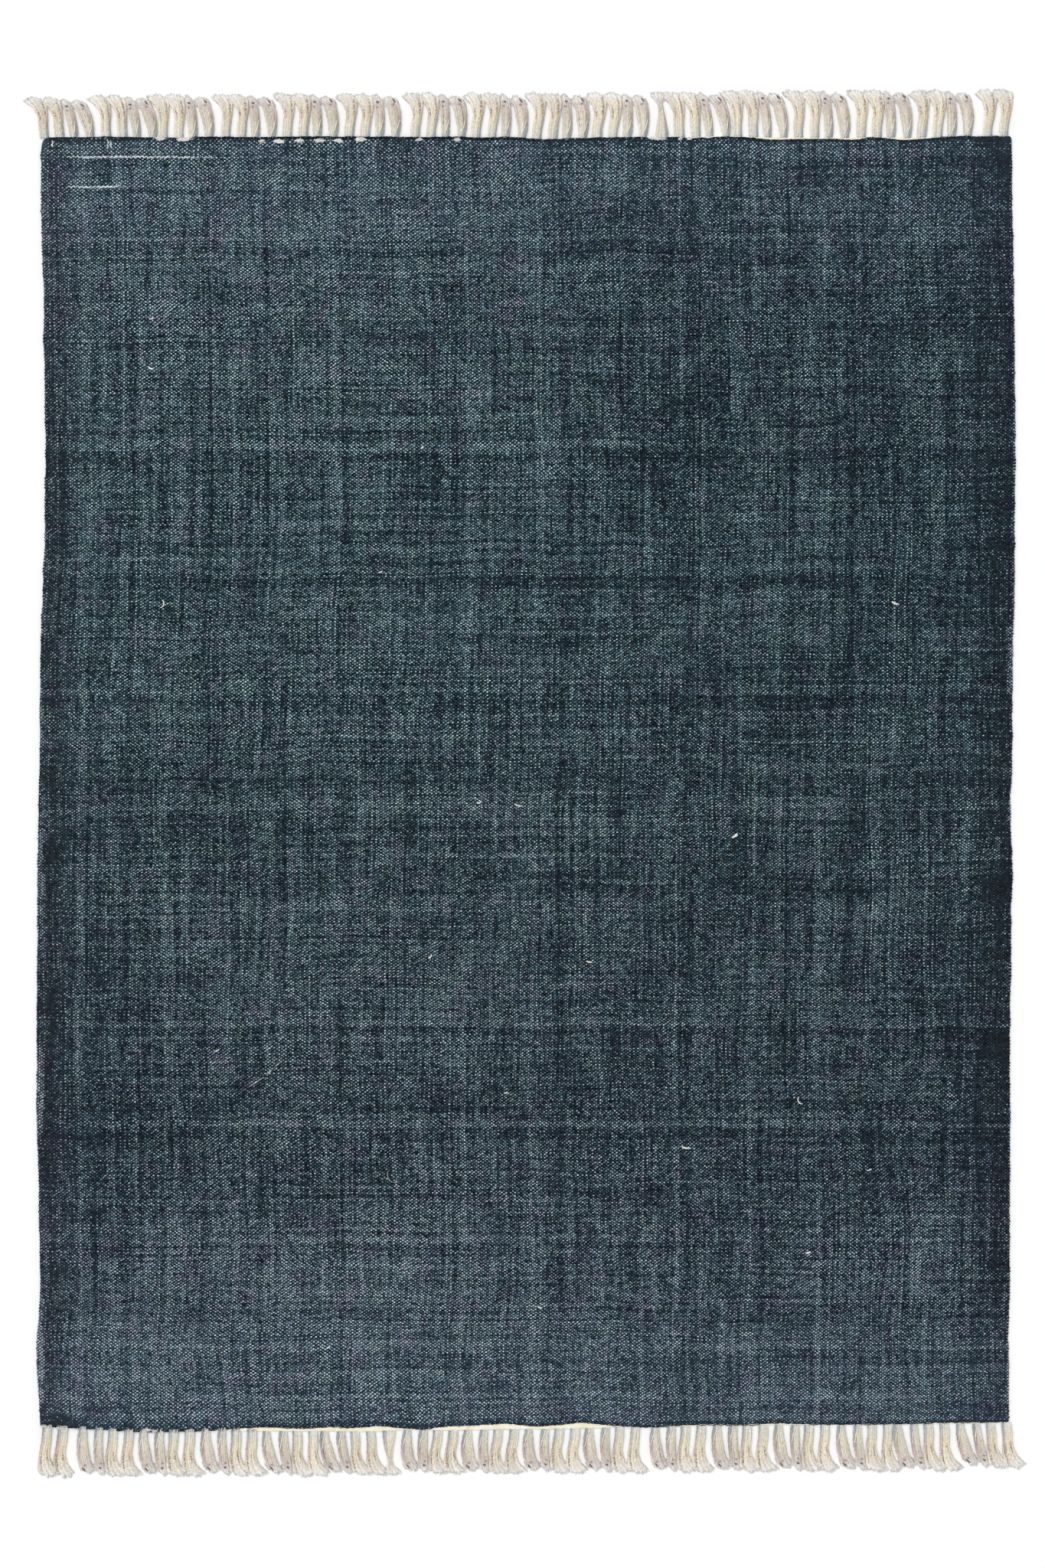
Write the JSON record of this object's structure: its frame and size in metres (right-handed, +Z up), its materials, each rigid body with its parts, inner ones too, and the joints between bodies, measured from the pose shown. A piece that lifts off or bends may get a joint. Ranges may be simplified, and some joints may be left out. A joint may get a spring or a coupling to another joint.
{
  "type": "flat-woven fringed rug",
  "caption": "Rectangular flat-woven cotton dhurrie rug, lying flat, with slightly wavering edges and a fringe of leaning tassels along each end.",
  "frame": {"origin": "on the floor under the middle of the rug's bounding box", "axes": "+Z up out of the cloth's face, +Y along the warp towards the head end, +X to the right across the weft"},
  "size_m": [1.4416, 2.0026, 0.005],
  "materials": {
    "indigo_cloth": "plain-woven cotton, matt, stone-washed dark blue with pale warp flecks",
    "natural_fringe": "loose plied undyed cotton, matt, frayed at the tips"
  },
  "bodies": {
    "root": {"dhurrie_cloth": "indigo_cloth", "fringe_head": "natural_fringe", "fringe_foot": "natural_fringe"}
  },
  "joints": []
}
